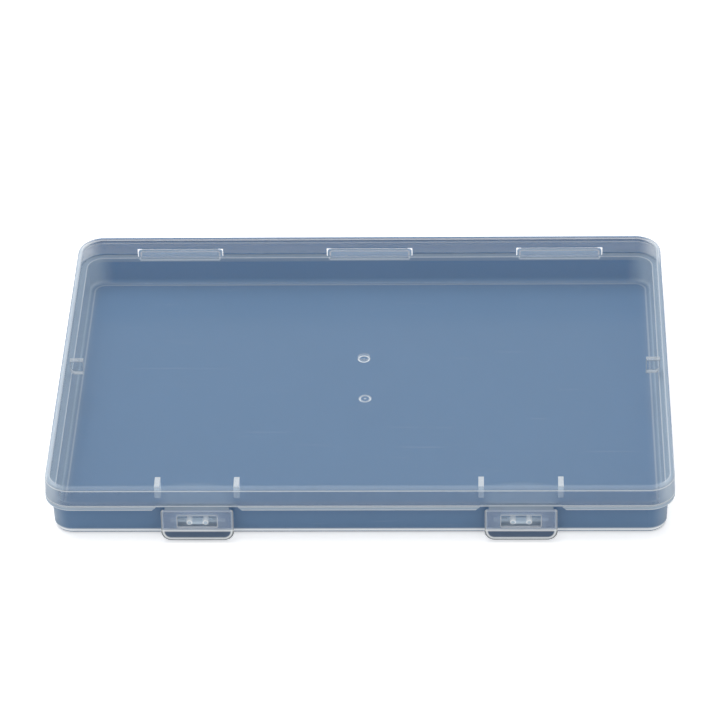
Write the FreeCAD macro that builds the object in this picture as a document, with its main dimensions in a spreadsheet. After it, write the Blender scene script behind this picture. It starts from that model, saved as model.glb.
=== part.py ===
import FreeCAD, Part
import os
import re

import Sketcher

# Flat storage case moulded in clear polypropylene: a shallow tray and a lid of the same outline,
# joined behind by three folding straps and held in front by two snap flaps on film hinges.
# Millimetres, +Z up, latches on the -Y side, origin under the tray's middle, level with its foot.

DIMENSIONS = {
    "case_width": (230, "outline of rim and lid along X, at the parting plane"),
    "case_depth": (165, "outline of rim and lid along Y, at the parting plane"),
    "case_height": (22.4, "underside of the tray to the top of the lid"),
    "corner_radius": (10, "plan radius of the outline's corners"),
    "wall": (1.2, "thickness of floor, top and side walls"),
    "draft_angle": (2, "mould draft of the side walls, degrees"),
    "parting_height": (14.1, "top of the tray's rim"),
    "parting_gap": (0.15, "gap between rim and skirt"),
    "fit_clearance": (0.3, "side clearance between pieces that slide past each other"),
    "edge_bevel": (0.3, "bevel of the moulding's free edges"),
    "rim_width": (2.3, "how far the rim stands out from the tray's wall"),
    "rim_thickness": (1.6, "height of the rim's edge"),
    "tray_edge_radius": (1.8, "rounding between the tray's walls and underside"),
    "foot_height": (1.4, "how far the floor stands above the foot round its edge"),
    "foot_inset": (7.0, "outline to the inner edge of that foot"),
    "floor_fillet": (2.0, "rounding between the walls and the floor inside"),
    "lid_edge_radius": (1.6, "rounding between the lid's skirt and top"),
    "gate_radius": (2.3, "outer radius of the moulding gate's ring mark"),
    "gate_groove": (0.6, "width of the ring mark"),
    "gate_depth": (0.35, "depth of the ring mark"),
    "strap_spacing": (75.2, "distance between neighbouring hinge straps"),
    "strap_width": (33.4, "hinge strap along X"),
    "strap_thickness": (1.0, "hinge strap's plate"),
    "strap_corner": (1.2, "rounding of the plate's corners"),
    "lower_fold_height": (10.9, "axis of the fold between tray and strap"),
    "upper_fold_height": (16.4, "axis of the fold between strap and lid"),
    "fold_setback": (0.5, "hinge folds inside the rear of the outline"),
    "film_radius": (0.45, "folded hinge film, taken as a round bead on its axis"),
    "film_margin": (1.6, "plate beyond the film at each end"),
    "film_gap": (0.05, "film to the plate that it turns with"),
    "fold_clearance": (0.1, "film to the piece that it turns against"),
    "ledge_thickness": (1.0, "hinge ledge on the tray's rear wall"),
    "latch_spacing": (117.8, "distance between the two latches"),
    "latch_setout": (0.1, "latch fold in front of the outline"),
    "flap_width": (26.6, "latch flap along X"),
    "flap_reach": (12.9, "latch fold to the flap's tip"),
    "flap_thickness": (1.0, "latch flap's plate"),
    "flap_tilt": (9.5, "flap's lean away from the tray at rest, degrees"),
    "flap_shoulder": (1.2, "rounding of the flap's upper corners"),
    "flap_tip_corner": (3.7, "rounding of the flap's lower corners"),
    "window_width": (14.4, "opening in the flap"),
    "window_start": (2.8, "latch fold to the window's upper edge"),
    "window_height": (4.7, "opening in the flap, along the flap"),
    "window_corner": (0.4, "rounding of the window's corners"),
    "recess_top_width": (29.8, "gap in the rim behind a flap, at the parting plane"),
    "recess_slope": (1.8, "how far each end of that gap slopes out below"),
    "catch_height": (7.5, "axis of the catch's bosses"),
    "catch_reach": (3.05, "catch's nose in front of the tray's wall"),
    "boss_radius": (1.1, "round bosses of the catch"),
    "boss_spacing": (5.9, "distance between the bosses"),
    "web_thickness": (0.9, "web that joins the bosses"),
    "web_root_width": (10.2, "that web along X, at the wall"),
    "shelf_width": (20, "shelf under the catch, along X"),
    "shelf_reach": (1.2, "shelf in front of the tray's wall"),
    "shelf_thickness": (1.0, "shelf's height"),
    "tab_thickness": (2.0, "guide tabs under the lid"),
    "tab_gap": (1.9, "skirt's inside to a tab, at the parting plane"),
    "tab_clearance": (0.9, "rim's top to the tabs' lower ends"),
    "tab_corner": (2.0, "rounding of a tab's lower outer corner"),
    "front_tab_reach": (9.0, "outline to a front tab's inner edge"),
    "side_tab_reach": (8.3, "outline to a side tab's inner edge"),
    "front_tab_spacing": (28.9, "distance between the two tabs beside a latch"),
}

HALF_WIDTH = "case_width / 2"
HALF_DEPTH = "case_depth / 2"
SKIRT_BOTTOM = "parting_height + parting_gap"
WALL_FACE = f"{HALF_DEPTH} - rim_width"
HINGE_LINE = f"{HALF_DEPTH} - fold_setback"
LATCH_LINE = f"{HALF_DEPTH} + latch_setout"
LATCH_FOLD_HEIGHT = f"{SKIRT_BOTTOM} - fold_clearance - film_radius"
STATIONS = {"left": -1, "centre": 0, "right": 1}
SIDES = {"left": -1, "right": 1}
TOUCH = 1e-4

document = FreeCAD.newDocument("storage_case")
sheet = document.addObject("Spreadsheet::Sheet", "sizes")
for row, (alias, (number, meaning)) in enumerate(DIMENSIONS.items(), start=1):
    sheet.set(f"A{row}", meaning)
    sheet.set(f"B{row}", str(number))
    sheet.setAlias(f"B{row}", alias)
document.recompute()


def linked(formula):
    """Returns a formula in the sheet's aliases as an expression that other objects can hold."""
    return re.sub(r"[a-z_]+", lambda m: f"sizes.{m[0]}" if m[0] in DIMENSIONS else m[0], formula)


def size(formula):
    """Works out a formula in the sheet's aliases."""
    return float(sheet.evalExpression(linked(formula)))


def bind(item, **formulas):
    """Binds properties of an object to formulas."""
    for name, formula in formulas.items():
        item.setExpression(name, linked(formula))


def place(item, x, y, z, axis=(0, 0, 1), angle="0"):
    """Puts a sub-part at x, y, z, turned about an axis by an angle in degrees."""
    turn = FreeCAD.Rotation(FreeCAD.Vector(*axis), size(angle))
    item.Placement = FreeCAD.Placement(FreeCAD.Vector(size(x), size(y), size(z)), turn)
    for letter, formula in (("x", x), ("y", y), ("z", z)):
        item.setExpression(f"Placement.Base.{letter}", linked(formula))
    if angle != "0":
        item.setExpression("Placement.Rotation.Angle", linked(angle))


def new_body(label):
    """Starts a sub-part as a body of its own."""
    body = document.addObject("PartDesign::Body", label)
    body.Label = label
    return body


def new_sketch(body, name, plane, offset="0"):
    """Adds a sketch on one of the body's origin planes, moved along the plane's normal."""
    drawing = body.newObject("Sketcher::SketchObject", name)
    support = next(item for item in body.Origin.OriginFeatures if item.Role == plane)
    drawing.AttachmentSupport = (support, [""])
    drawing.MapMode = "FlatFace"
    drawing.setExpression("AttachmentOffset.Base.z", linked(offset))
    document.recompute()
    return drawing


def constrain(drawing, kind, *where, formula):
    """Adds one dimension to a sketch and binds it to a formula."""
    index = drawing.addConstraint(Sketcher.Constraint(kind, *where, size(formula)))
    drawing.setExpression(f"Constraints[{index}]", linked(formula))


def draw_polygon(drawing, corners):
    """Draws a closed outline whose corners are pairs of formulas."""
    points = [FreeCAD.Vector(size(x), size(y), 0) for x, y in corners]
    first = drawing.GeometryCount
    count = len(points)
    for index in range(count):
        drawing.addGeometry(Part.LineSegment(points[index], points[(index + 1) % count]), False)
    for index, (x, y) in enumerate(corners):
        edge = first + index
        after = first + (index + 1) % count
        drawing.addConstraint(Sketcher.Constraint("Coincident", edge, 2, after, 1))
        constrain(drawing, "DistanceX", -1, 1, edge, 1, formula=x)
        constrain(drawing, "DistanceY", -1, 1, edge, 1, formula=y)


def draw_circle(drawing, radius, x="0"):
    """Draws a circle on the sketch's X axis."""
    centre = FreeCAD.Vector(size(x), 0, 0)
    index = drawing.addGeometry(Part.Circle(centre, FreeCAD.Vector(0, 0, 1), size(radius)), False)
    constrain(drawing, "Radius", index, formula=radius)
    if x == "0":
        drawing.addConstraint(Sketcher.Constraint("Coincident", index, 3, -1, 1))
    else:
        drawing.addConstraint(Sketcher.Constraint("PointOnObject", index, 3, -1))
        constrain(drawing, "DistanceX", -1, 1, index, 3, formula=x)


def draw_rounded_rectangle(drawing, left, right, low, high, low_radius, high_radius):
    """Draws a rectangle whose lower and upper corners are arcs of the given radii."""
    edges = {"left": size(left), "right": size(right), "low": size(low), "high": size(high)}
    below = size(low_radius)
    above = size(high_radius)
    turns = (
        (edges["right"] - below, edges["low"] + below, below, -1),
        (edges["right"] - above, edges["high"] - above, above, 0),
        (edges["left"] + above, edges["high"] - above, above, 1),
        (edges["left"] + below, edges["low"] + below, below, 2),
    )
    quarter = FreeCAD.Units.Quantity("90 deg").getValueAs("rad").Value
    arcs = []
    for x, y, radius, start in turns:
        circle = Part.Circle(FreeCAD.Vector(x, y, 0), FreeCAD.Vector(0, 0, 1), radius)
        arcs.append(Part.ArcOfCircle(circle, start * quarter, (start + 1) * quarter))
    lines = [Part.LineSegment(arcs[i - 1].EndPoint, arcs[i].StartPoint) for i in range(4)]
    line = drawing.GeometryCount
    drawing.addGeometry(lines + arcs, False)
    arc = line + 4
    for index in range(4):
        after = line + (index + 1) % 4
        drawing.addConstraint(Sketcher.Constraint("Tangent", line + index, 2, arc + index, 1))
        drawing.addConstraint(Sketcher.Constraint("Tangent", arc + index, 2, after, 1))
        way = "Vertical" if index % 2 else "Horizontal"
        drawing.addConstraint(Sketcher.Constraint(way, line + index))
    for index, radius in enumerate((low_radius, high_radius, high_radius, low_radius)):
        constrain(drawing, "Radius", arc + index, formula=radius)
    constrain(drawing, "DistanceY", -1, 1, line, 1, formula=low)
    constrain(drawing, "DistanceX", -1, 1, line + 1, 1, formula=right)
    constrain(drawing, "DistanceY", -1, 1, line + 2, 1, formula=high)
    constrain(drawing, "DistanceX", -1, 1, line + 3, 1, formula=left)


def draw_outline(drawing, inset):
    """Draws the case's outline, moved in by inset."""
    half_width = f"{HALF_WIDTH} - ({inset})"
    half_depth = f"{HALF_DEPTH} - ({inset})"
    radius = f"corner_radius - ({inset})"
    extents = (f"-({half_width})", half_width, f"-({half_depth})", half_depth)
    draw_rounded_rectangle(drawing, *extents, radius, radius)


def grow(body, kind, drawing, name, length, backwards=False, symmetric=False):
    """Pads or pockets a sketch, and makes sure that the solid's volume changed."""
    before = body.Shape.Volume if body.Tip else 0
    feature = body.newObject(f"PartDesign::{kind}", name)
    feature.Profile = drawing
    feature.SideType = "Symmetric" if symmetric else "One side"
    feature.Reversed = backwards
    bind(feature, Length=length)
    document.recompute()
    if abs(feature.Shape.Volume - before) < TOUCH:
        raise RuntimeError(f"{body.Label}: {name} changed nothing")
    return feature


def faces_of(feature, wanted):
    """Names the faces that a test picks."""
    return [f"Face{i}" for i, face in enumerate(feature.Shape.Faces, start=1) if wanted(face)]


def level_face(height):
    """Makes a test for a flat, level face at a height."""
    level = size(height)

    def wanted(face):
        box = face.BoundBox
        return abs(box.ZMin - level) < TOUCH and abs(box.ZMax - level) < TOUCH

    return wanted


def is_upright(face):
    """Tells whether a face runs straight up."""
    return abs(face.normalAt(*(sum(face.ParameterRange[i:i + 2]) / 2 for i in (0, 2))).z) < TOUCH


def outer_edges(feature, *heights):
    """Names the edges round the outside of the level faces at the given heights."""
    wires = []
    for height in heights:
        level = [face for face in feature.Shape.Faces if level_face(height)(face)]
        widest = max(level, key=lambda face: face.BoundBox.DiagonalLength)
        wires += widest.OuterWire.Edges
    every = enumerate(feature.Shape.Edges, start=1)
    return [f"Edge{i}" for i, edge in every if any(edge.isSame(other) for other in wires)]


def dress_edges(body, kind, name, edges, **formulas):
    """Rounds (Fillet) or bevels (Chamfer) named edges of the body's last feature."""
    feature = body.newObject(f"PartDesign::{kind}", name)
    feature.Base = (body.Tip if body.Tip != feature else feature.BaseFeature, edges)
    bind(feature, **formulas)
    document.recompute()
    return feature


def hollow_shell(body, drawing, height, upwards, edge_radius):
    """Makes a drafted, round-edged shell that is open at the parting plane."""
    block = grow(body, "Pad", drawing, f"{body.Label}_block", height, backwards=not upwards)
    open_level = drawing.AttachmentOffset.Base.z
    closed_level = open_level + (1 if upwards else -1) * size(height)
    draft = body.newObject("PartDesign::Draft", f"{body.Label}_draft")
    draft.Base = (block, faces_of(block, is_upright))
    draft.NeutralPlane = (block, faces_of(block, level_face(str(open_level))))
    draft.Reversed = not upwards
    bind(draft, Angle="draft_angle")
    document.recompute()
    edges = outer_edges(draft, str(closed_level))
    rounded = dress_edges(body, "Fillet", f"{body.Label}_edge", edges, Radius=edge_radius)
    shell = body.newObject("PartDesign::Thickness", f"{body.Label}_shell")
    shell.Base = (rounded, faces_of(rounded, level_face(str(open_level))))
    shell.Reversed = True
    bind(shell, Value="wall")
    document.recompute()
    return shell


def cut_gate_mark(body, height):
    """Cuts the moulding gate's ring into the middle of a level face."""
    drawing = new_sketch(body, f"{body.Label}_gate_ring", "XY_Plane", height)
    draw_circle(drawing, "gate_radius")
    draw_circle(drawing, "gate_radius - gate_groove")
    grow(body, "Pocket", drawing, f"{body.Label}_gate", "gate_depth")


def strap_centre(side):
    """Gives the X of a hinge station."""
    return f"{side} * strap_spacing"


def latch_centre(side):
    """Gives the X of a latch."""
    return f"{side} * latch_spacing / 2"


def make_tray():
    """Tray: drafted shell on a foot, rim with gaps at straps and latches, hinge ledges, gate mark."""
    body = new_body("base_tray")
    drawing = new_sketch(body, "tray_outline", "XY_Plane", "parting_height")
    draw_outline(drawing, "rim_width")
    hollow_shell(body, drawing, "parting_height", False, "tray_edge_radius")

    drawing = new_sketch(body, "floor_outline", "XY_Plane", "wall / 2")
    draw_outline(drawing, "rim_width + wall")
    floor = grow(body, "Pad", drawing, "raised_floor", "foot_height + wall / 2")
    edges = outer_edges(floor, "foot_height + wall")
    dress_edges(body, "Fillet", "floor_edge", edges, Radius="floor_fillet")
    drawing = new_sketch(body, "foot_outline", "XY_Plane")
    draw_outline(drawing, "foot_inset")
    grow(body, "Pocket", drawing, "foot_recess", "foot_height", backwards=True)

    drawing = new_sketch(body, "rim_ring", "XY_Plane", "parting_height")
    draw_outline(drawing, "0")
    draw_outline(drawing, "rim_width + wall / 2")
    rim = grow(body, "Pad", drawing, "rim", "rim_thickness", backwards=True)
    edges = outer_edges(rim, "parting_height", "parting_height - rim_thickness")
    dress_edges(body, "Chamfer", "rim_edge", edges, Size="edge_bevel")

    low = "parting_height - 2 * rim_thickness"
    high = "parting_height + rim_thickness"
    strap_half = "strap_width / 2 + fit_clearance"
    drawing = new_sketch(body, "strap_gaps", "XZ_Plane", f"-({WALL_FACE})")
    for side in STATIONS.values():
        left = f"{strap_centre(side)} - ({strap_half})"
        right = f"{strap_centre(side)} + {strap_half}"
        draw_polygon(drawing, [(left, low), (right, low), (right, high), (left, high)])
    grow(body, "Pocket", drawing, "strap_gap", "2 * rim_width")

    slope = "recess_slope / rim_thickness"
    high_half = f"recess_top_width / 2 - {slope} * rim_thickness"
    low_half = f"recess_top_width / 2 + {slope} * 2 * rim_thickness"
    drawing = new_sketch(body, "latch_gaps", "XZ_Plane", WALL_FACE)
    for side in SIDES.values():
        middle = latch_centre(side)
        draw_polygon(
            drawing,
            [
                (f"{middle} - ({low_half})", low),
                (f"{middle} + {low_half}", low),
                (f"{middle} + {high_half}", high),
                (f"{middle} - ({high_half})", high),
            ],
        )
    grow(body, "Pocket", drawing, "latch_gap", "2 * rim_width", backwards=True)

    ledge_low = "lower_fold_height - ledge_thickness / 2"
    back = f"{WALL_FACE} - wall / 2"
    front = f"{HINGE_LINE} - film_radius - fold_clearance"
    half = "strap_width / 2"
    drawing = new_sketch(body, "ledge_outlines", "XY_Plane", ledge_low)
    for side in STATIONS.values():
        left = f"{strap_centre(side)} - {half}"
        right = f"{strap_centre(side)} + {half}"
        draw_rounded_rectangle(drawing, left, right, back, front, "edge_bevel", "strap_corner")
    grow(body, "Pad", drawing, "hinge_ledge", "ledge_thickness")
    cut_gate_mark(body, "foot_height + wall")
    return body


def make_lid():
    """Lid: drafted shell with gaps for the hinge straps and a gate mark on top."""
    body = new_body("lid_cover")
    drawing = new_sketch(body, "lid_outline", "XY_Plane", SKIRT_BOTTOM)
    draw_outline(drawing, "0")
    shell = hollow_shell(body, drawing, f"case_height - ({SKIRT_BOTTOM})", True, "lid_edge_radius")
    edges = outer_edges(shell, SKIRT_BOTTOM)
    dress_edges(body, "Chamfer", "skirt_edge", edges, Size="edge_bevel")

    low = "parting_height"
    high = "upper_fold_height + film_radius + fold_clearance"
    half = "strap_width / 2 + fit_clearance"
    drawing = new_sketch(body, "skirt_gaps", "XZ_Plane")
    for side in STATIONS.values():
        left = f"{strap_centre(side)} - ({half})"
        right = f"{strap_centre(side)} + {half}"
        draw_polygon(drawing, [(left, low), (right, low), (right, high), (left, high)])
    grow(body, "Pocket", drawing, "skirt_gap", "case_depth")
    cut_gate_mark(body, "case_height")
    return body


def make_film(label, middle, y, height, length):
    """Folded hinge film: a round bead along X on the fold's axis."""
    film = document.addObject("Part::Cylinder", label)
    film.Label = label
    bind(film, Radius="film_radius", Height=length)
    place(film, f"{middle} - ({length}) / 2", y, height, (0, 1, 0), "90")
    return film


def make_strap(name, side):
    """Hinge strap: a plate that stands between its two folds, and their films."""
    middle = strap_centre(side)
    clear = "film_radius + film_gap"
    body = new_body(f"hinge_strap_{name}")
    drawing = new_sketch(body, f"strap_{name}_outline", "XZ_Plane")
    extents = ("-strap_width / 2", "strap_width / 2")
    heights = (f"lower_fold_height + {clear}", f"upper_fold_height - ({clear})")
    draw_rounded_rectangle(drawing, *extents, *heights, "strap_corner", "strap_corner")
    grow(body, "Pad", drawing, f"strap_{name}_plate", "strap_thickness", symmetric=True)
    place(body, middle, HINGE_LINE, "0")
    length = "strap_width - 2 * film_margin"
    films = [
        make_film(f"{fold}_film_{name}", middle, HINGE_LINE, f"{fold}_fold_height", length)
        for fold in ("lower", "upper")
    ]
    return [body, *films]


def make_latch(name, side):
    """Latch: a flap with a window, hung from the lid's skirt on its film."""
    middle = latch_centre(side)
    body = new_body(f"latch_flap_{name}")
    drawing = new_sketch(body, f"flap_{name}_outline", "XZ_Plane")
    extents = ("-flap_width / 2", "flap_width / 2", "-flap_reach", "-(film_radius + film_gap)")
    draw_rounded_rectangle(drawing, *extents, "flap_tip_corner", "flap_shoulder")
    plate = grow(body, "Pad", drawing, f"flap_{name}_plate", "flap_thickness", symmetric=True)
    rims = [f"Edge{i}" for i, edge in enumerate(plate.Shape.Edges, start=1)
            if abs(edge.BoundBox.YLength) < TOUCH]
    dress_edges(body, "Chamfer", f"flap_{name}_edge", rims, Size="edge_bevel")
    drawing = new_sketch(body, f"flap_{name}_window", "XZ_Plane")
    heights = ("-(window_start + window_height)", "-window_start")
    extents = ("-window_width / 2", "window_width / 2", *heights)
    draw_rounded_rectangle(drawing, *extents, "window_corner", "window_corner")
    grow(body, "Pocket", drawing, f"flap_{name}_opening", "2 * flap_thickness", symmetric=True)
    place(body, middle, f"-({LATCH_LINE})", LATCH_FOLD_HEIGHT, (1, 0, 0), "-flap_tilt")
    length = "flap_width - 2 * film_margin"
    film = make_film(f"latch_film_{name}", middle, f"-({LATCH_LINE})", LATCH_FOLD_HEIGHT, length)
    return [body, film]


def make_catch(name, side):
    """Catch: two round bosses joined by a web, over a shelf, set on the tray's leaning wall."""
    body = new_body(f"catch_{name}")
    shelf_low = "-boss_radius"
    drawing = new_sketch(body, f"shelf_{name}_outline", "XZ_Plane")
    half = "shelf_width / 2"
    shelf_high = f"{shelf_low} + shelf_thickness"
    corners = [("-" + half, shelf_low), (half, shelf_low), (half, shelf_high), ("-" + half, shelf_high)]
    draw_polygon(drawing, corners)
    grow(body, "Pad", drawing, f"shelf_{name}", "shelf_reach")

    drawing = new_sketch(body, f"web_{name}_outline", "XY_Plane", "-web_thickness / 2")
    root = "web_root_width / 2"
    nose = "boss_spacing / 2"
    reach = "-catch_reach"
    back = "-shelf_reach / 2"
    draw_polygon(drawing, [("-" + root, back), (root, back), (nose, reach), ("-" + nose, reach)])
    grow(body, "Pad", drawing, f"web_{name}", "web_thickness")

    drawing = new_sketch(body, f"bosses_{name}_outline", "XZ_Plane")
    for way in SIDES.values():
        draw_circle(drawing, "boss_radius", f"{way} * boss_spacing / 2")
    bosses = grow(body, "Pad", drawing, f"bosses_{name}", "catch_reach")
    tip = -size("catch_reach")
    rims = [f"Edge{i}" for i, edge in enumerate(bosses.Shape.Edges, start=1)
            if abs(edge.BoundBox.YMax - tip) < TOUCH and hasattr(edge.Curve, "Radius")]
    dress_edges(body, "Chamfer", f"bosses_{name}_tip", rims, Size="edge_bevel")
    drop = "(parting_height - catch_height)"
    wall_y = f"-({WALL_FACE}) + {drop} * tan(draft_angle * 1 deg)"
    place(body, latch_centre(side), wall_y, "catch_height", (1, 0, 0), "draft_angle")
    return body


def make_tab(label, x, y, turn, reach):
    """Guide tab: a plate under the lid that ends just above the rim, its lower outer corner rounded."""
    outer = "wall + tab_gap"
    low = "parting_height + tab_clearance"
    high = "case_height - wall"
    body = new_body(label)
    drawing = new_sketch(body, f"{label}_outline", "XZ_Plane")
    draw_polygon(drawing, [(outer, low), (reach, low), (reach, high), (outer, high)])
    plate = grow(body, "Pad", drawing, f"{label}_plate", "tab_thickness", symmetric=True)
    corner = FreeCAD.Vector(size(outer), 0, size(low))
    edges = [f"Edge{i}" for i, edge in enumerate(plate.Shape.Edges, start=1)
             if edge.CenterOfMass.distanceToPoint(corner) < TOUCH]
    dress_edges(body, "Fillet", f"{label}_round", edges, Radius="tab_corner")
    place(body, x, y, "0", (0, 0, 1), turn)
    return body


def make_tabs():
    """Four tabs beside the latches and one in the middle of each short side."""
    tabs = []
    for name, side in SIDES.items():
        for end, way in (("outer", side), ("inner", -side)):
            x = f"{latch_centre(side)} + {way} * front_tab_spacing / 2"
            label = f"front_tab_{name}_{end}"
            tabs.append(make_tab(label, x, f"-{HALF_DEPTH}", "90", "front_tab_reach"))
        turn = "0" if side < 0 else "180"
        x = f"{side} * {HALF_WIDTH}"
        tabs.append(make_tab(f"side_tab_{name}", x, "0", turn, "side_tab_reach"))
    return tabs


def write_parts(parts):
    """Checks every object and every sub-part, then writes one file for each sub-part."""
    document.recompute()
    failed = [item.Label for item in document.Objects if {"Invalid", "Error"} & set(item.State)]
    failed += [item.Label for item in parts if item.Shape.isNull() or not item.Shape.isValid()]
    failed += [item.Label for item in parts if len(item.Shape.Solids) != 1]
    if failed:
        raise RuntimeError(f"failed: {failed}")
    os.makedirs("parts", exist_ok=True)
    for item in parts:
        item.Shape.exportStep(f"parts/{item.Label}.step")


sub_parts = [make_tray(), make_lid()]
for station, station_side in STATIONS.items():
    sub_parts += make_strap(station, station_side)
for latch_name, latch_side in SIDES.items():
    sub_parts += make_latch(latch_name, latch_side)
    sub_parts.append(make_catch(latch_name, latch_side))
sub_parts += make_tabs()
write_parts(sub_parts)
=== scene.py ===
import math
from typing import NamedTuple

import bpy
import numpy as np
from mathutils import Matrix, Vector


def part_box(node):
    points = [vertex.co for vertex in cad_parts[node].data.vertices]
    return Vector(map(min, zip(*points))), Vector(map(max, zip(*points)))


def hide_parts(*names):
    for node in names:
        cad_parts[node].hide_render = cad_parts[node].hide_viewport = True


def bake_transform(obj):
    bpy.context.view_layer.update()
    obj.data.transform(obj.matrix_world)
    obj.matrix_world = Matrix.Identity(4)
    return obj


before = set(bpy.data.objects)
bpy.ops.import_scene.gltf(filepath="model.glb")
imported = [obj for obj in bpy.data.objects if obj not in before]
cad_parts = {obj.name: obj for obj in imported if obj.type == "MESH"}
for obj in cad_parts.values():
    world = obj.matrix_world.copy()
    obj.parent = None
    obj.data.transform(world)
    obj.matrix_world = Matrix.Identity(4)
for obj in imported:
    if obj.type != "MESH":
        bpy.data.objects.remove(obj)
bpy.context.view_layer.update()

# Flat storage case in clear blue-grey polypropylene. The rigid mouldings are the CAD nodes with plastics of
# their own; the folded hinge films are thin webs worked out here, curved where they cross the folds.

MM = 0.001

# The case: X runs along the front, Y to the rear, Z up.
LID_LOW, LID_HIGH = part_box("lid_cover")
_, TRAY_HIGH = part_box("base_tray")
HALF_WIDTH = LID_HIGH[0]
REAR = LID_HIGH[1]
FRONT = -REAR
OUTLINE_CORNER = 10 * MM
LID_TOP = LID_HIGH[2]
SKIRT_BOTTOM = LID_LOW[2]
RIM_TOP = TRAY_HIGH[2]
RIM_BOTTOM = RIM_TOP - 1.6 * MM
RIM_WIDTH = 2.3 * MM
WALL = 1.2 * MM
FLOOR_TOP = 2.6 * MM
FOOT_EDGE = 1.7 * MM
GATE_RING = 2.0 * MM

# The three hinge straps, with a fold at their lower and upper edge.
STRAP_SPACING = sum(corner[0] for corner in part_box("hinge_strap_right")) / 2
STRAP_HALF = 16.7 * MM
STRAP_CORNER = 1.2 * MM
STRAP_MARGIN = 0.7 * MM
STRAP_LOW, STRAP_HIGH = (corner[2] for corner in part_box("hinge_strap_right"))
LOWER_FOLD = 10.9 * MM
UPPER_FOLD = 16.4 * MM
HINGE_LINE = 82.0 * MM
LEDGE_TOP = LOWER_FOLD + 2.4 * MM

# The two latches: leaning flaps with a window, and catches behind them.
LATCH_X = sum(corner[0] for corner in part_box("latch_flap_right")) / 2
LATCH_LINE = -82.6 * MM
LATCH_FOLD = 13.7 * MM
FLAP_TILT = math.radians(9.5)
FLAP_HALF = 13.3 * MM
FLAP_REACH = 12.9 * MM
FLAP_CORNER = 3.7 * MM
FLAP_SHOULDER = 1.2 * MM
LIP_START = 8.8 * MM
WINDOW_HALF = 7.2 * MM
WINDOW_START = 2.8 * MM
WINDOW_HEIGHT = 4.7 * MM
WINDOW_CORNER = 0.4 * MM
BOSS_OFFSET = 2.95 * MM
BOSS_RADIUS = 1.1 * MM
CATCH_HEIGHT = 7.5 * MM
HAZE_HALF = 15 * MM
HAZE_DEPTH = 5 * MM

# The guide tabs under the lid.
SIDE_TAB_LOW, SIDE_TAB_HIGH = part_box("side_tab_right")
TAB_CORNER = 2.0 * MM
TAB_ROOT = LID_TOP - WALL

# The hinge films.
FILM_THICKNESS = 0.4 * MM
FILM_MARGIN = 1.6 * MM
FILM_REACH = 0.6 * MM
FILM_CURVE_POINTS = 13
FILM_STATIONS = 9

# Colours and finish of the plastics.
# WHITE is mostly painted highlight and painted sheen, and also the whitening of scratches and hinge folds.
WHITE = (0.80, 0.83, 0.85)
BLACK = (0.0, 0.0, 0.0)
# EDGE_BLUE serves partly, and PALE_BLUE and SIDE_BLUE wholly, as painted light in the zones.
EDGE_BLUE = (0.42, 0.52, 0.62)
PALE_BLUE = (0.57, 0.71, 0.84)
SIDE_BLUE = (0.45, 0.57, 0.70)
# EDGE_SHADE, SHADED_BLUE, REAR_SHADE and RIM_SHADE are painted shade.
EDGE_SHADE = (0.40, 0.40, 0.35)
TRAY_BLUE = (0.14, 0.255, 0.43)
SHADED_BLUE = (0.06, 0.13, 0.25)
RIM_BLUE = (0.42, 0.53, 0.65)
LID_BLUE = (0.20, 0.29, 0.40)
SKIRT_BLUE = (0.19, 0.28, 0.42)
REAR_BLUE = (0.08, 0.25, 0.52)
REAR_SHADE = (0.04, 0.12, 0.26)
RIM_SHADE = (0.10, 0.22, 0.40)
BACK_WALL_BLUE = (0.13, 0.28, 0.51)
STRAP_BLUE = (0.30, 0.54, 0.82)
FLAP_BLUE = (0.33, 0.43, 0.60)
LIP_BLUE = (0.05, 0.10, 0.19)
FILM_BLUE = (0.20, 0.28, 0.38)
ROUGHNESS = 0.22
SCRATCHED_ROUGHNESS = 0.42
REFRACTION = 1.49
FLOW_SHADE = 0.1
SCRATCH_SHADE = 0.06

# The studio.
FLOOR_HALF = 6.0
FLOOR_GREY = (0.88, 0.88, 0.88)
FLOOR_GLOW = 0.5
WORLD_STRENGTH = 0.6
LAMP_WIDTH = 1.6
LAMP_DEPTH = 1.2
LAMP_POWER = 16.0
LAMP_PLACE = (-0.2, 0.35, 1.45)


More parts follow.
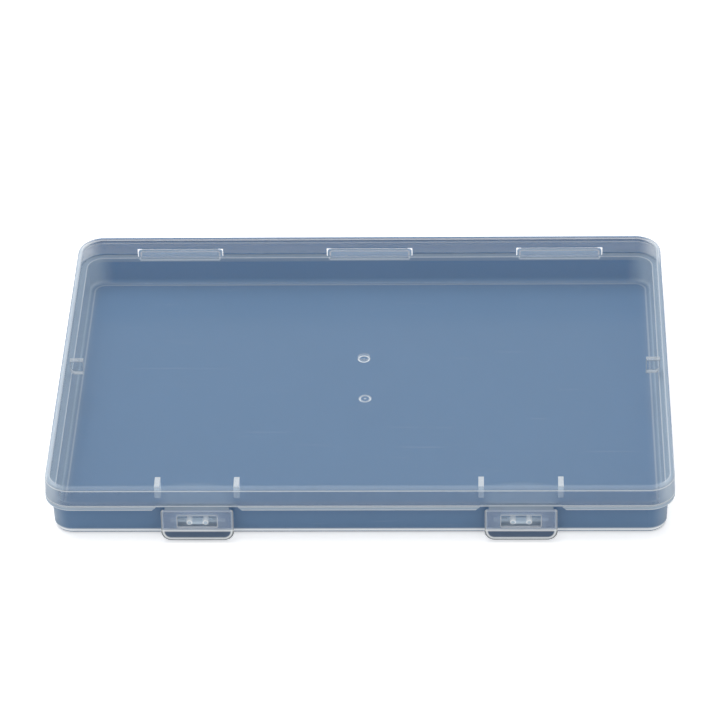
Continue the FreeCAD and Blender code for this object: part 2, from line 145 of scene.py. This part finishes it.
class Net:
    """Adds nodes to one tree and joins them."""

    def __init__(self, tree):
        self.tree = tree

    def feed(self, socket, value):
        """Links a socket to another one, or sets its value."""
        if isinstance(value, bpy.types.NodeSocket):
            self.tree.links.new(value, socket)
        else:
            socket.default_value = value

    def add(self, kind, feeds=None, **settings):
        """Adds one node with its settings and inputs."""
        node = self.tree.nodes.new(kind)
        for name, value in settings.items():
            setattr(node, name, value)
        for name, value in (feeds or {}).items():
            self.feed(node.inputs[name], value)
        return node

    def calc(self, operation, *values):
        """One step of arithmetic."""
        feeds = dict(enumerate(values))
        return self.add("ShaderNodeMath", feeds, operation=operation).outputs[0]

    def size(self, value):
        """The value without its sign."""
        return self.calc("ABSOLUTE", value)

    def square(self, value):
        """The value times itself."""
        return self.calc("POWER", value, 2.0)

    def length(self, first, second):
        """The length of two sides at a right angle, taken together."""
        return self.calc("SQRT", self.calc("ADD", self.square(first), self.square(second)))

    def times(self, *values):
        """The product of several masks."""
        product = values[0]
        for value in values[1:]:
            product = self.calc("MULTIPLY", product, value)
        return product

    def highest(self, *values):
        """The largest of several masks."""
        top = values[0]
        for value in values[1:]:
            top = self.calc("MAXIMUM", top, value)
        return top

    def opposite(self, mask):
        """1 where the mask is 0, and 0 where it is 1."""
        return self.calc("SUBTRACT", 1.0, mask)

    def rise(self, value, low, high):
        """Goes smoothly from 0 at low to 1 at high."""
        feeds = {"Value": value, "From Min": low, "From Max": high}
        return self.add("ShaderNodeMapRange", feeds, interpolation_type="SMOOTHSTEP").outputs[0]

    def fall(self, value, low, high):
        """Goes smoothly from 1 at low to 0 at high."""
        return self.opposite(self.rise(value, low, high))

    def line(self, value, centre, half):
        """1 where value is at centre, falling smoothly to 0 at half on either side."""
        return self.fall(self.size(self.calc("SUBTRACT", value, centre)), 0.0, half)

    def tint(self, factor, first, second):
        """Goes from the first colour to the second."""
        node = self.add("ShaderNodeMix", data_type="RGBA")
        self.feed(node.inputs["Factor"], factor)
        self.feed(node.inputs["A"], first)
        self.feed(node.inputs["B"], second)
        return node.outputs["Result"]

    def level(self, factor, first, second):
        """Goes from the first number to the second."""
        span = self.calc("MULTIPLY", factor, second - first)
        return self.calc("ADD", span, first)

    def group(self, tree, feeds):
        """Places a node group."""
        node = self.tree.nodes.new("ShaderNodeGroup")
        node.node_tree = tree
        for name, value in feeds.items():
            self.feed(node.inputs[name], value)
        return node.outputs


class Zone(NamedTuple):
    """A part of a moulding's surface with a colour and opacity of its own. The share is how much of them it
    takes where its mask is 1, and the glow is painted light that it gives off, though it is no lamp."""

    mask: object
    colour: tuple
    opacity: float
    share: float = 1.0
    glow: float = 0.0


def opaque(colour):
    """The colour with an alpha of 1."""
    return (*colour, 1.0)


def new_group(name, inputs, outputs):
    """Starts a shader node group with named sockets; gives its net, inputs and output node."""
    tree = bpy.data.node_groups.new(name, "ShaderNodeTree")
    for socket, kind in inputs.items():
        tree.interface.new_socket(socket, in_out="INPUT", socket_type=f"NodeSocket{kind}")
    for socket, kind in outputs.items():
        tree.interface.new_socket(socket, in_out="OUTPUT", socket_type=f"NodeSocket{kind}")
    entry = tree.nodes.new("NodeGroupInput").outputs
    leave = tree.nodes.new("NodeGroupOutput")
    return Net(tree), entry, leave


def rounded_inset_group():
    """How far a point lies inside a rounded rectangle: the corner radius, less the length of the part of
    |point| - (half size - radius) that is positive, less its larger part where both are negative."""
    inputs = {name: "Float" for name in ("U", "V", "Half U", "Half V", "Corner")}
    net, entry, leave = new_group("rounded_inset", inputs, {"Inset": "Float"})
    beyond = []
    for axis in ("U", "V"):
        straight = net.calc("SUBTRACT", entry[f"Half {axis}"], entry["Corner"])
        beyond.append(net.calc("SUBTRACT", net.size(entry[axis]), straight))
    outside = net.length(*(net.calc("MAXIMUM", side, 0.0) for side in beyond))
    inside = net.calc("MINIMUM", net.calc("MAXIMUM", *beyond), 0.0)
    inset = net.calc("SUBTRACT", entry["Corner"], net.calc("ADD", outside, inside))
    net.feed(leave.inputs["Inset"], inset)
    return net.tree


def moulding_marks_group():
    """Marks of the moulding: slow flow shades, fine scratches and a faint orange peel."""
    inputs = {"Vector": "Vector", "Flow": "Float", "Scratch": "Float"}
    outputs = {"Shade": "Float", "Scratches": "Float", "Height": "Float"}
    net, entry, leave = new_group("moulding_marks", inputs, outputs)
    place = entry["Vector"]
    flow = net.add("ShaderNodeTexNoise", {"Vector": place, "Scale": 14.0, "Detail": 3.0, "Distortion": 1.5})
    shade = net.times(net.calc("SUBTRACT", flow.outputs["Fac"], 0.5), entry["Flow"])
    stretch = {"Vector": place, "Rotation": (0.0, 0.0, 0.6), "Scale": (30.0, 900.0, 900.0)}
    stretched = net.add("ShaderNodeMapping", stretch).outputs[0]
    fine = net.add("ShaderNodeTexNoise", {"Vector": stretched, "Scale": 1.0, "Detail": 2.0})
    scratches = net.times(net.rise(fine.outputs["Fac"], 0.66, 0.78), entry["Scratch"])
    peel = net.add("ShaderNodeTexNoise", {"Vector": place, "Scale": 420.0, "Detail": 2.0})
    net.feed(leave.inputs["Shade"], net.calc("ADD", shade, 1.0))
    net.feed(leave.inputs["Scratches"], scratches)
    net.feed(leave.inputs["Height"], net.calc("ADD", peel.outputs["Fac"], scratches))
    return net.tree


ROUNDED_INSET = rounded_inset_group()
MOULDING_MARKS = moulding_marks_group()


def inset_of(net, u, v, half_u, half_v, corner):
    """How far a point lies inside a rounded rectangle."""
    feeds = {"U": u, "V": v, "Half U": half_u, "Half V": half_v, "Corner": corner}
    return net.group(ROUNDED_INSET, feeds)["Inset"]


def case_inset(net, x, y):
    """How far a point lies inside the case's outline."""
    return inset_of(net, x, y, HALF_WIDTH, REAR, OUTLINE_CORNER)


def along_strap(net, x):
    """Place along X from the middle of the nearest strap."""
    return net.calc("WRAP", x, STRAP_SPACING / 2, -STRAP_SPACING / 2)


def along_latch(net, x):
    """Place along X from the middle of the nearest latch."""
    return net.calc("SUBTRACT", net.size(x), LATCH_X)


def gate_mark(net, x, y):
    """The ring and faint middle dot of the moulding gate, in the middle of the case."""
    radius = net.length(x, y)
    dot = net.times(net.line(radius, 0.0, 0.8 * MM), 0.6)
    return net.highest(net.line(radius, GATE_RING, 0.7 * MM), dot)


def lid_zones(net, x, y, z):
    """Lid: tinted skirt, stronger at the rear and the sides, with painted light on the sides and front
    corners; painted highlight on the top edge; painted shade on the rear edge, with a painted highlight line
    under it, and on the round outer edge; painted highlight lines along skirt and top; haze over the
    latches; gate mark with a painted highlight."""
    inset = case_inset(net, x, y)
    skirt = net.fall(inset, 1.7 * MM, 2.3 * MM)
    inner_face = net.rise(inset, 0.5 * WALL, 0.75 * WALL)
    outer_face = net.opposite(inner_face)
    at_front = net.fall(y, FRONT + 3 * MM, FRONT + 12 * MM)
    at_rear = net.rise(y, REAR - 6 * MM, REAR - 2 * MM)
    at_side = net.rise(net.size(x), HALF_WIDTH - 9 * MM, HALF_WIDTH - 2 * MM)
    near_top = net.rise(z, LID_TOP - 1.9 * MM, LID_TOP - 1.2 * MM)
    # Painted highlight: the rounded top edge is drawn lighter and more opaque.
    top_edge_highlight = net.times(net.fall(inset, 1.6 * MM, 3.0 * MM), near_top)
    rear = net.times(at_rear, skirt)
    rear_inside = net.times(rear, inner_face)
    # Painted shade: a dark line along the rounded rear edge.
    rear_edge_shade = net.times(net.line(inset, 2.2 * MM, 0.9 * MM), near_top, at_rear)
    # Painted highlight: a light line with a painted glow inside the rear skirt, under the rounded edge.
    rear_highlight_line = net.times(net.line(z, LID_TOP - 2.6 * MM, 0.45 * MM), rear_inside)
    # Painted light: the side skirts are drawn lighter as well as more opaque.
    sides = net.times(at_side, skirt)
    # Painted light: the front corners of the skirt are drawn lighter.
    lit_front_corners = net.times(sides, at_front)
    far_side = net.times(at_side, net.rise(y, FRONT + 15 * MM, FRONT + 45 * MM))
    # Painted shade: the rounded outer edge at the far sides and the rear is drawn dark.
    round_edge_shade = net.times(outer_face, near_top, net.highest(far_side, at_rear))
    # Painted highlight: a light line with a painted glow near the top edge at the sides.
    crease_highlight = net.times(net.line(inset, 1.9 * MM, 0.4 * MM), near_top, at_side)
    # Painted highlights: light lines with a painted glow at the front near the top and along the skirt's
    # lower edge.
    shoulder_highlight = net.times(net.line(z, LID_TOP - 1.1 * MM, 0.35 * MM), outer_face, at_front)
    lower = net.times(net.line(z, SKIRT_BOTTOM + 0.4 * MM, 0.45 * MM), skirt, outer_face)
    along = net.calc("DIVIDE", along_latch(net, x), HAZE_HALF)
    into = net.calc("DIVIDE", net.calc("SUBTRACT", y, FRONT), HAZE_DEPTH)
    haze = net.fall(net.calc("ADD", net.square(along), net.square(into)), 0.4, 1.0)
    upper_side = net.rise(z, LID_TOP - 0.7 * WALL, LID_TOP - 0.5 * WALL)
    # Painted highlight: the gate's ring and dot are drawn white with a painted glow, at half strength on the
    # top face.
    mark = net.times(gate_mark(net, x, y), net.level(upper_side, 1.0, 0.5))
    return [
        Zone(skirt, SKIRT_BLUE, opacity=0.38),
        Zone(top_edge_highlight, EDGE_BLUE, opacity=0.24),
        Zone(rear, SKIRT_BLUE, opacity=0.7),
        Zone(rear_inside, REAR_BLUE, opacity=0.7),
        Zone(rear_edge_shade, REAR_SHADE, opacity=0.65, share=0.9),
        Zone(sides, SIDE_BLUE, opacity=0.5),
        Zone(round_edge_shade, RIM_SHADE, opacity=0.75),
        Zone(haze, EDGE_BLUE, opacity=0.25, share=0.5),
        Zone(rear_highlight_line, WHITE, opacity=0.8, share=0.6, glow=0.2),
        Zone(lit_front_corners, WHITE, opacity=0.6, share=0.3),
        Zone(crease_highlight, WHITE, opacity=0.6, share=0.55, glow=0.06),
        Zone(net.highest(shoulder_highlight, lower), WHITE, opacity=0.75, glow=0.06),
        Zone(mark, WHITE, opacity=0.95, glow=0.25),
    ]


def tray_zones(net, x, y, z):
    """Tray: painted shade on the outer wall, painted light at its ends and on the wall behind the latches,
    inner walls with painted light on the sides, rim with painted highlight lines and painted light at the
    sides, painted highlight at the floor's edge, thin wall behind the straps with a painted glow and a
    painted highlight border, painted highlight on the foot's edge, gate mark with a painted highlight."""
    inset = case_inset(net, x, y)
    out = net.size(x)
    inner_face = net.rise(inset, RIM_WIDTH + 0.5 * WALL, RIM_WIDTH + 0.8 * WALL)
    shaded = net.times(net.rise(z, 5 * MM, 12 * MM), net.opposite(inner_face))
    # Painted light: the tray's ends are drawn lighter.
    ends = net.rise(out, HALF_WIDTH - 9 * MM, HALF_WIDTH - 2 * MM)
    # Painted light: the front wall behind each latch is drawn pale with a painted glow.
    at_latch = net.fall(net.size(along_latch(net, x)), WINDOW_HALF - 3 * MM, WINDOW_HALF + 5 * MM)
    front_face = net.fall(y, FRONT + 2.9 * MM, FRONT + 3.2 * MM)
    catch_level = net.fall(z, CATCH_HEIGHT - 1 * MM, CATCH_HEIGHT + 5 * MM)
    lit_wall = net.times(at_latch, front_face, catch_level)
    raised = net.rise(z, FLOOR_TOP, FLOOR_TOP + 1.0 * MM)
    sides = net.rise(out, HALF_WIDTH - 14 * MM, HALF_WIDTH - 4 * MM)
    # Painted light: the inner side walls are drawn pale with a faint painted glow.
    lit_wall_side = net.times(sides, inner_face, raised)
    wall_back = net.times(net.rise(y, REAR - 7 * MM, REAR - 6 * MM), inner_face, raised)
    floor_level = net.line(z, FLOOR_TOP + 0.1 * MM, 0.8 * MM)
    # Painted highlight: a light line at the floor's edge.
    floor_edge_highlight = net.times(net.line(inset, 5.8 * MM, 0.6 * MM), floor_level)
    on_rim = net.fall(inset, RIM_WIDTH + 0.9 * WALL, RIM_WIDTH + 1.2 * WALL)
    rim = net.times(net.rise(z, RIM_BOTTOM - 0.2 * MM, RIM_BOTTOM), on_rim)
    # Painted light: the rim is drawn lighter at the sides.
    lit_rim_side = net.times(rim, sides)
    rim_level = net.rise(z, RIM_TOP - 0.3 * MM, RIM_TOP - 0.1 * MM)
    rim_face = net.times(rim_level, net.rise(inset, 0.3 * MM, 0.8 * MM))
    rim_front = net.times(rim_face, net.fall(y, FRONT + 4 * MM, FRONT + 8 * MM))
    # Painted highlights: light lines with a painted glow along the rim's upper and lower edges.
    outer_edge = net.line(inset, 0.0, 0.6 * MM)
    inner_edge = net.line(inset, RIM_WIDTH + WALL, 0.5 * MM)
    inner_edge = net.times(inner_edge, net.rise(y, FRONT + 5 * MM, FRONT + 10 * MM))
    upper = net.times(net.line(z, RIM_TOP, 0.3 * MM), net.highest(outer_edge, inner_edge))
    lower = net.times(net.line(z, RIM_BOTTOM + 0.35 * MM, 0.45 * MM), outer_edge, 0.6)
    along = net.size(along_strap(net, x))
    at_back = net.rise(y, REAR - 4.5 * MM, REAR - 4.0 * MM)
    above_ledge = net.rise(z, LEDGE_TOP - 0.3 * MM, LEDGE_TOP + 0.1 * MM)
    behind = net.times(net.fall(along, STRAP_HALF - 1.2 * MM, STRAP_HALF - 0.6 * MM), at_back)
    # The wall behind the straps is drawn pale and more see-through, with a painted glow; its ledge and ends
    # get painted highlight lines with a stronger painted glow.
    thin = net.times(behind, above_ledge)
    ledge = net.times(behind, inner_face, net.line(z, LEDGE_TOP, 0.8 * MM))
    thin_end_highlights = net.line(along, STRAP_HALF - 0.9 * MM, 0.6 * MM)
    thin_end_highlights = net.times(thin_end_highlights, at_back, inner_face, above_ledge)
    # Painted highlight: a light line with a strong painted glow along the foot's edge.
    foot = net.times(net.line(z, FOOT_EDGE, 1.1 * MM), net.fall(inset, 5.0 * MM, 6.0 * MM))
    return [
        Zone(shaded, SHADED_BLUE, opacity=0.92, share=0.3),
        Zone(ends, EDGE_BLUE, opacity=0.9, share=0.5),
        Zone(lit_wall, PALE_BLUE, opacity=0.92, share=0.6, glow=0.1),
        Zone(wall_back, BACK_WALL_BLUE, opacity=0.95),
        Zone(rim, RIM_BLUE, opacity=0.8),
        Zone(lit_rim_side, SIDE_BLUE, opacity=0.8),
        Zone(rim_front, SKIRT_BLUE, opacity=0.8, share=0.8),
        Zone(lit_wall_side, PALE_BLUE, opacity=0.9, glow=0.03),
        Zone(floor_edge_highlight, WHITE, opacity=0.9, share=0.4),
        Zone(net.highest(upper, lower), WHITE, opacity=0.95, glow=0.06),
        Zone(thin, PALE_BLUE, opacity=0.35, glow=0.12),
        Zone(net.highest(ledge, thin_end_highlights), WHITE, opacity=0.85, glow=0.25),
        Zone(foot, WHITE, opacity=0.95, glow=0.33),
        # Painted highlight on the gate mark, with a painted glow.
        Zone(gate_mark(net, x, y), WHITE, opacity=0.95, glow=0.25),
    ]


def strap_zones(net, x, y, z):
    """Painted highlight along the border of each hinge strap, a little inside its ends."""
    up = net.calc("SUBTRACT", z, (STRAP_LOW + STRAP_HIGH) / 2)
    half_height = (STRAP_HIGH - STRAP_LOW) / 2
    inset = inset_of(net, along_strap(net, x), up, STRAP_HALF - STRAP_MARGIN, half_height, STRAP_CORNER)
    # Painted highlight: a light line with a faint painted glow along the strap's border.
    return [Zone(net.line(inset, 0.4 * MM, 0.6 * MM), WHITE, opacity=0.7, glow=0.05)]


def flap_zones(net, x, y, z):
    """Dark lip of a latch flap, painted highlight lines along its borders, lip and window, and a painted
    dark line just inside its outer edge, in the leaning flap's own plane.
    """
    along = along_latch(net, x)
    out = net.times(net.calc("SUBTRACT", LATCH_LINE, y), math.sin(FLAP_TILT))
    down = net.times(net.calc("SUBTRACT", LATCH_FOLD, z), math.cos(FLAP_TILT))
    reach = net.calc("ADD", out, down)
    half_reach = (FLAP_REACH + FLAP_SHOULDER) / 2
    flap_down = net.calc("SUBTRACT", reach, FLAP_REACH - half_reach)
    lower_half = net.rise(reach, 0.4 * FLAP_REACH, 0.6 * FLAP_REACH)
    corner = net.level(lower_half, 2 * FLAP_SHOULDER, FLAP_CORNER)
    border = inset_of(net, along, flap_down, FLAP_HALF, half_reach, corner)
    on_lip = net.rise(reach, LIP_START - 0.6 * MM, LIP_START + 0.6 * MM)
    # Painted highlight along the border of the lip.
    lip_border_highlight = net.times(net.line(border, 0.9 * MM, 0.6 * MM), on_lip)
    window_down = net.calc("SUBTRACT", reach, WINDOW_START + WINDOW_HEIGHT / 2)
    window = inset_of(net, along, window_down, WINDOW_HALF, WINDOW_HEIGHT / 2, WINDOW_CORNER)
    return [
        Zone(net.rise(reach, LIP_START, LIP_START + 0.6 * MM), LIP_BLUE, opacity=0.85),
        # Painted highlights: light lines, some with a painted glow, at the lip's top, near the fold, round
        # the window and along the border.
        Zone(net.line(reach, LIP_START, 0.7 * MM), WHITE, opacity=0.8, glow=0.15),
        Zone(net.line(reach, 0.9 * MM, 0.5 * MM), WHITE, opacity=0.7, share=0.5, glow=0.05),
        Zone(net.line(window, -0.1 * MM, 0.45 * MM), WHITE, opacity=0.6, share=0.8),
        Zone(net.line(border, 0.7 * MM, 0.5 * MM), WHITE, opacity=0.7, share=0.5),
        Zone(lip_border_highlight, WHITE, opacity=0.85, glow=0.15),
        # Painted shade: a dark line just inside the outer edge.
        Zone(net.line(border, 0.3 * MM, 0.3 * MM), EDGE_SHADE, opacity=0.8, share=0.8),
    ]


def catch_zones(net, x, y, z):
    """Catch drawn pale all over with a painted glow, with painted highlight rings round its two bosses."""
    across = net.calc("SUBTRACT", net.size(along_latch(net, x)), BOSS_OFFSET)
    radius = net.length(across, net.calc("SUBTRACT", z, CATCH_HEIGHT))
    ring = net.line(radius, BOSS_RADIUS - 0.2 * MM, 0.45 * MM)
    return [
        # Painted light: the whole catch is pale with a painted glow; the rings round the bosses are painted
        # highlights with a painted glow.
        Zone(1.0, PALE_BLUE, opacity=0.7, glow=0.1),
        Zone(ring, WHITE, opacity=0.9, glow=0.2),
    ]


def tab_zones(net, x, y, z):
    """Tabs: a painted highlight where they hang from the lid, clear side tabs with a painted highlight on
    the round-cornered lower edge and end, front tabs pale with a painted glow."""
    # Painted highlight where the tabs hang from the lid, and painted light on the front tabs, which are pale
    # with a painted glow.
    root_highlight = net.rise(z, TAB_ROOT - 0.7 * MM, TAB_ROOT - 0.2 * MM)
    front = net.fall(y, FRONT / 2, FRONT / 2 + 5 * MM)
    front_tab_glow = net.times(front, net.opposite(root_highlight))
    out = net.size(x)
    # Painted highlight along the side tabs' round-cornered lower edge and end.
    past = net.calc("MAXIMUM", net.calc("SUBTRACT", out, SIDE_TAB_HIGH[0] - TAB_CORNER), 0.0)
    below = net.calc("MAXIMUM", net.calc("SUBTRACT", SIDE_TAB_LOW[2] + TAB_CORNER, z), 0.0)
    lower_edge = net.line(net.length(past, below), TAB_CORNER, 0.5 * MM)
    edge = net.highest(lower_edge, net.line(out, SIDE_TAB_LOW[0], 0.45 * MM))
    side_edge_highlight = net.times(edge, net.opposite(front))
    return [
        Zone(front_tab_glow, PALE_BLUE, opacity=0.75, glow=0.25),
        Zone(net.highest(root_highlight, side_edge_highlight), WHITE, opacity=0.8, glow=0.05),
    ]


def film_zones(net, x, y, z):
    """Folded films: a little whitened along the hinge folds, hazy like the flaps at the front."""
    folds = net.highest(net.line(z, LOWER_FOLD, 0.5 * MM), net.line(z, UPPER_FOLD, 0.5 * MM))
    front = net.calc("LESS_THAN", y, 0.0)
    return [
        Zone(folds, WHITE, opacity=0.5, share=0.6),
        Zone(front, EDGE_BLUE, opacity=0.45),
    ]


def clear_plastic(name, zones, colour, opacity, sheen=0.0):
    """Clear moulded plastic: see-through faces, zones of other colour and opacity laid over each other in
    turn, a painted whitish sheen at glancing angles, flow shades, fine scratches, and painted glow on edges
    and faces."""
    material = bpy.data.materials.new(name)
    material.use_nodes = True
    tree = material.node_tree
    net = Net(tree)
    shader = tree.nodes["Principled BSDF"]
    place = tree.nodes.new("ShaderNodeTexCoord").outputs["Object"]
    axes = net.add("ShaderNodeSeparateXYZ", {"Vector": place}).outputs
    marks = net.group(MOULDING_MARKS, {"Vector": place, "Flow": FLOW_SHADE, "Scratch": SCRATCH_SHADE})
    shade = net.tint(marks["Scratches"], opaque(colour), opaque(WHITE))
    cover = net.times(marks["Shade"], opacity)
    glow = 0.0
    for zone in zones(net, axes["X"], axes["Y"], axes["Z"]):
        mask = zone.mask
        if zone.share < 1.0:
            mask = net.times(mask, zone.share)
        # Painted light: each zone's glow adds to an emission that makes the plastic give off light.
        if zone.glow:
            glow = net.highest(glow, net.times(mask, zone.glow))
        shade = net.tint(mask, shade, opaque(zone.colour))
        gap = net.calc("SUBTRACT", zone.opacity, cover)
        cover = net.calc("ADD", cover, net.times(mask, gap))
    # Painted sheen: at glancing angles the plastic is drawn whiter and more opaque, standing in for
    # reflection.
    if sheen:
        glancing = net.add("ShaderNodeLayerWeight", {"Blend": 0.3}).outputs["Facing"]
        painted_sheen = net.times(net.square(glancing), sheen)
        shade = net.tint(painted_sheen, shade, opaque(WHITE))
        cover = net.calc("ADD", cover, net.times(painted_sheen, 0.5))
    bump = net.add("ShaderNodeBump", {"Height": marks["Height"], "Strength": 0.02, "Distance": 0.2 * MM})
    net.feed(shader.inputs["Base Color"], shade)
    net.feed(shader.inputs["Emission Color"], net.tint(glow, opaque(BLACK), opaque(WHITE)))
    shader.inputs["Emission Strength"].default_value = 1.0
    net.feed(shader.inputs["Alpha"], net.calc("MINIMUM", cover, 1.0))
    net.feed(shader.inputs["Roughness"], net.level(marks["Scratches"], ROUGHNESS, SCRATCHED_ROUGHNESS))
    net.feed(shader.inputs["Normal"], bump.outputs[0])
    shader.inputs["IOR"].default_value = REFRACTION
    return material


# The sheen given to the lid and the flaps is a painted sheen.
tray_plastic = clear_plastic("tray_plastic", tray_zones, TRAY_BLUE, opacity=0.92)
lid_plastic = clear_plastic("lid_plastic", lid_zones, LID_BLUE, opacity=0.11, sheen=0.2)
strap_plastic = clear_plastic("strap_plastic", strap_zones, STRAP_BLUE, opacity=0.65)
flap_plastic = clear_plastic("flap_plastic", flap_zones, FLAP_BLUE, opacity=0.42, sheen=0.3)
catch_plastic = clear_plastic("catch_plastic", catch_zones, PALE_BLUE, opacity=0.7)
tab_plastic = clear_plastic("tab_plastic", tab_zones, EDGE_BLUE, opacity=0.1)
film_plastic = clear_plastic("film_plastic", film_zones, FILM_BLUE, opacity=0.2)

NODE_PLASTICS = {
    "lid_cover": lid_plastic,
    "base_tray": tray_plastic,
    "hinge_strap": strap_plastic,
    "latch_flap": flap_plastic,
    "catch": catch_plastic,
    "front_tab": tab_plastic,
    "side_tab": tab_plastic,
}
for node_name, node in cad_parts.items():
    for start, plastic in NODE_PLASTICS.items():
        if node_name.startswith(start):
            for place in node.material_slots:
                place.material = plastic


def film_web(name, middle, half_width, ends, bend):
    """Thin web between two edges: a quadratic curve from the first end to the second, drawn towards the bend
    point, with half the thickness laid off along its normal on either side, carried straight along X."""
    steps = np.linspace(0.0, 1.0, FILM_CURVE_POINTS)[:, None]
    first, last, pull = (np.array(point) for point in (*ends, bend))
    curve = (1 - steps) ** 2 * first + 2 * steps * (1 - steps) * pull + steps ** 2 * last
    ahead = 2 * (1 - steps) * (pull - first) + 2 * steps * (last - pull)
    normal = np.stack([-ahead[:, 1], ahead[:, 0]], axis=1) / np.linalg.norm(ahead, axis=1, keepdims=True)
    offset = normal * FILM_THICKNESS / 2
    loop = np.concatenate([curve + offset, (curve - offset)[::-1]])
    stations = middle + half_width * np.linspace(-1.0, 1.0, FILM_STATIONS)
    count = len(loop)
    points = np.concatenate([np.repeat(stations, count)[:, None], np.tile(loop, (len(stations), 1))], axis=1)
    here = np.arange(count)
    following = (here + 1) % count
    rows = np.arange(len(stations) - 1)[:, None] * count
    quads = [rows + here, rows + following, rows + count + following, rows + count + here]
    sides = np.stack(quads, axis=-1).reshape(-1, 4)
    half = np.arange(count // 2 - 1)
    far_cap = np.stack([half, half + 1, count - 2 - half, count - 1 - half], axis=1)
    near_cap = far_cap[:, ::-1]
    far_cap = far_cap + (len(stations) - 1) * count
    mesh = bpy.data.meshes.new(name)
    mesh.from_pydata(points.tolist(), [], np.concatenate([sides, near_cap, far_cap]).tolist())
    mesh.validate()
    web = bpy.data.objects.new(name, mesh)
    bpy.context.scene.collection.objects.link(web)
    mesh.materials.append(film_plastic)
    return web


def fold_web(name, node, middle, half_width, ends, bend):
    """A film web that bends between two bodies and stands for a CAD bead."""
    web = film_web(name, middle, half_width, ends, bend)
    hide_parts(node)
    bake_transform(web)


def strap_webs():
    """The two folds of each strap: from the tray's ledge into the strap, and from the strap into the skirt,
    which leans in a little."""
    half_width = STRAP_HALF - FILM_MARGIN
    skirt_lean = 0.2 * MM
    lower_ends = ((HINGE_LINE - FILM_REACH, LOWER_FOLD), (HINGE_LINE, LOWER_FOLD + FILM_REACH))
    upper_ends = ((HINGE_LINE, UPPER_FOLD - FILM_REACH), (HINGE_LINE - skirt_lean, UPPER_FOLD + FILM_REACH))
    for station, side in (("left", -1), ("centre", 0), ("right", 1)):
        middle = side * STRAP_SPACING
        fold_web(f"lower_web_{station}", f"lower_film_{station}", middle,
                 half_width, lower_ends, (HINGE_LINE, LOWER_FOLD))
        fold_web(f"upper_web_{station}", f"upper_film_{station}", middle,
                 half_width, upper_ends, (HINGE_LINE, UPPER_FOLD))


def latch_webs():
    """The fold of each latch, from the lid's skirt down into the flap, which leans out."""
    half_width = FLAP_HALF - FILM_MARGIN
    skirt_end = (LATCH_LINE + 0.3 * MM, LATCH_FOLD + FILM_REACH)
    flap_end = (LATCH_LINE - 0.1 * MM, LATCH_FOLD - FILM_REACH)
    for name, side in (("left", -1), ("right", 1)):
        fold_web(f"latch_web_{name}", f"latch_film_{name}", side * LATCH_X,
                 half_width, (skirt_end, flap_end), (LATCH_LINE, LATCH_FOLD))


def stage_floor():
    """Wide pale floor that is white to the camera and keeps the case's soft shadow."""
    mesh = bpy.data.meshes.new("floor")
    corners = [(x * FLOOR_HALF, y * FLOOR_HALF, 0.0) for x, y in ((-1, -1), (1, -1), (1, 1), (-1, 1))]
    mesh.from_pydata(corners, [], [(0, 1, 2, 3)])
    floor = bpy.data.objects.new("floor", mesh)
    bpy.context.scene.collection.objects.link(floor)
    material = bpy.data.materials.new("studio_floor")
    material.use_nodes = True
    tree = material.node_tree
    net = Net(tree)
    shader = tree.nodes["Principled BSDF"]
    shader.inputs["Base Color"].default_value = opaque(FLOOR_GREY)
    shader.inputs["Roughness"].default_value = 0.9
    shader.inputs["Specular IOR Level"].default_value = 0.0
    seen = net.add("ShaderNodeLightPath").outputs["Is Camera Ray"]
    glow = net.add("ShaderNodeEmission", {"Strength": net.times(seen, FLOOR_GLOW)})
    both = net.add("ShaderNodeAddShader", {0: shader.outputs[0], 1: glow.outputs[0]})
    net.feed(tree.nodes["Material Output"].inputs["Surface"], both.outputs[0])
    mesh.materials.append(material)


def studio_light():
    """Even white surroundings and one large soft lamp above and behind, aimed at the case."""
    world = bpy.data.worlds.new("studio")
    world.use_nodes = True
    background = world.node_tree.nodes["Background"]
    background.inputs["Color"].default_value = (1.0, 1.0, 1.0, 1.0)
    background.inputs["Strength"].default_value = WORLD_STRENGTH
    bpy.context.scene.world = world
    lamp = bpy.data.lights.new("soft_lamp", "AREA")
    lamp.shape = "RECTANGLE"
    lamp.size = LAMP_WIDTH
    lamp.size_y = LAMP_DEPTH
    lamp.energy = LAMP_POWER
    holder = bpy.data.objects.new("soft_lamp", lamp)
    holder.location = LAMP_PLACE
    holder.rotation_euler = (-Vector(LAMP_PLACE)).to_track_quat("-Z", "Y").to_euler()
    bpy.context.scene.collection.objects.link(holder)


def photo_camera():
    """Camera of the photograph: elevation, turn, roll, distance and focal length from its straight edges."""
    elevation, turn, roll = (math.radians(angle) for angle in (35.64, 2.412, 1.566))
    photo_pixels = 720
    focal_pixels = 3920.6
    distance = 1498.0 * MM
    shift_right = 1.525 * MM
    shift_up = -16.898 * MM
    vertical = Vector((0.0, 0.0, 1.0))
    across = Vector((math.cos(turn), math.sin(turn), 0.0))
    inward = Vector((-math.sin(turn), math.cos(turn), 0.0))
    up = math.sin(elevation) * inward + math.cos(elevation) * vertical
    ahead = math.cos(elevation) * inward - math.sin(elevation) * vertical
    spot = -shift_right * across - shift_up * up - distance * ahead
    right = math.cos(roll) * across - math.sin(roll) * up
    above = math.sin(roll) * across + math.cos(roll) * up
    lens = bpy.data.cameras.new("photo_camera")
    lens.sensor_width = 36.0
    lens.lens = focal_pixels / photo_pixels * lens.sensor_width
    lens.clip_end = 50.0
    camera = bpy.data.objects.new("photo_camera", lens)
    columns = Matrix((right, above, -ahead)).transposed().to_4x4()
    camera.matrix_world = Matrix.Translation(spot) @ columns
    bpy.context.scene.collection.objects.link(camera)
    bpy.context.scene.camera = camera


strap_webs()
latch_webs()
stage_floor()
studio_light()
photo_camera()
bpy.context.scene.view_settings.view_transform = "Standard"
bpy.context.scene.cycles.transparent_max_bounces = 32
